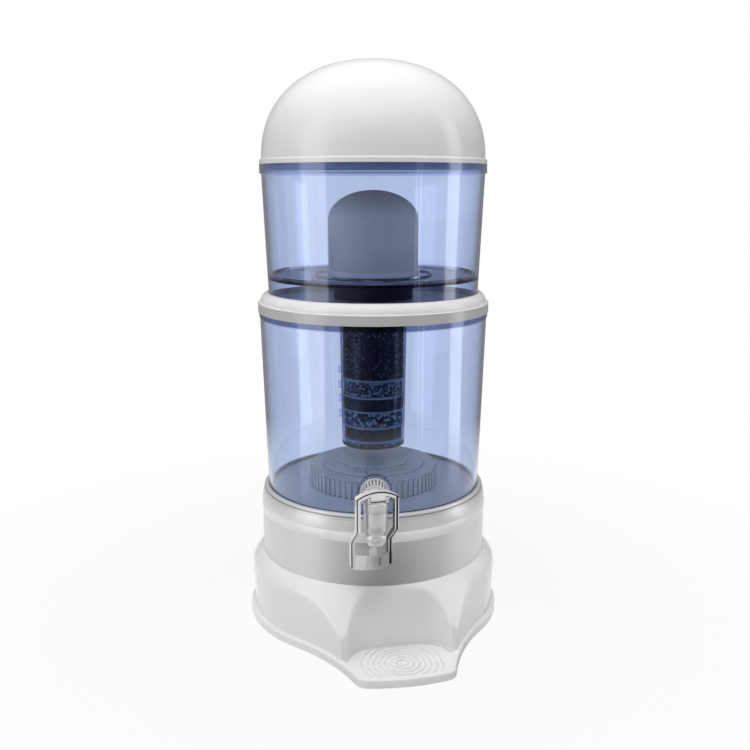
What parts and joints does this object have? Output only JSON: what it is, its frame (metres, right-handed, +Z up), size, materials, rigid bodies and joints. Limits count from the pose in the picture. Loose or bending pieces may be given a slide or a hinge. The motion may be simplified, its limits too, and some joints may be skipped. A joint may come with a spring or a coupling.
{
  "type": "gravity water filter with tap",
  "caption": "Domed countertop water filter: clear upper and lower tanks, ceramic dome, hanging cartridge and lever tap over a drip tray.",
  "frame": {"origin": "middle of the round tanks' axis, on the table under the base plate", "axes": "+Z up along the tanks' axis, -Y to the front, where the drip tray is, +X to the right of the stand"},
  "size_m": [0.29, 0.346, 0.6205],
  "materials": {
    "white_plastic": "glossy white moulded plastic",
    "silver_plastic": "satin silver-grey moulded plastic",
    "clear_tank": "clear plastic with a blue tint",
    "clear_case": "clear plastic with a blue tint, ribbed",
    "ceramic_white": "fine matt porous ceramic",
    "tap_plating": "pale silver plated plastic",
    "chrome_metal": "polished chrome",
    "steel": "plain steel",
    "black_plastic": "dark moulded plastic",
    "seal_rubber": "matt silicone rubber",
    "carbon": "black granular carbon",
    "minerals": "pale granular minerals",
    "pad_fibre": "white felted fibre"
  },
  "bodies": {
    "stand": {"base_plate": "white_plastic", "base_skirt": "white_plastic", "stand_neck": "silver_plastic", "neck_trim": "white_plastic", "seat_ring": "silver_plastic", "base_screws": "steel"},
    "lower": {"lower_tank": "clear_tank", "tap_collar_nut": "white_plastic", "tap_shank_nut": "white_plastic", "tap_washer_outer": "seal_rubber", "tap_washer_inner": "seal_rubber", "tap_body": "tap_plating", "tap_cap": "tap_plating", "lever_pin": "steel", "mineral_case": "clear_case", "case_cover": "clear_case", "mineral_stones": "minerals"},
    "lever": {"tap_lever": "chrome_metal", "stem_link_pin": "steel"},
    "stem": {"valve_stem": "steel", "valve_seal": "seal_rubber", "valve_spring": "steel"},
    "upper": {"upper_tank": "clear_tank", "divider_ring": "white_plastic", "ceramic_dome": "ceramic_white", "ceramic_base": "white_plastic", "ceramic_washer": "seal_rubber", "ceramic_nut": "white_plastic", "cartridge_shell": "clear_case", "cartridge_cap": "black_plastic", "cartridge_foot": "clear_case", "coarse_carbon_bed": "carbon", "mineral_ball_bed": "minerals", "zeolite_bed": "carbon", "silica_bed": "minerals", "carbon_bed": "carbon", "filter_pads": "pad_fibre"},
    "lid": {"dome_lid": "white_plastic"}
  },
  "joints": [
    {"name": "tank_lift", "type": "slide", "parent": "stand", "child": "lower", "axis": [0, 0, 1], "range_m": [0, 0.06]},
    {"name": "upper_lift", "type": "slide", "parent": "lower", "child": "upper", "axis": [0, 0, 1], "range_m": [0, 0.17]},
    {"name": "lid_lift", "type": "slide", "parent": "upper", "child": "lid", "axis": [0, 0, 1], "range_m": [0, 0.12]},
    {"name": "lever_press", "type": "hinge", "parent": "lower", "child": "lever", "pos_m": [-0.02772, -0.17661, 0.19], "axis": [0.9954, 0.0958, 0], "range_deg": [0, 12], "stiffness_Nm_per_rad": 0.15, "springref_deg": -11.46},
    {"name": "stem_lift", "type": "slide", "parent": "lower", "child": "stem", "axis": [0, 0, 1], "range_m": [0, 0.0015], "deforming": ["valve_spring"]}
  ],
  "couplings": [
    {"joint": "stem_lift", "follows": "lever_press", "m_per_rad": 0.007}
  ]
}
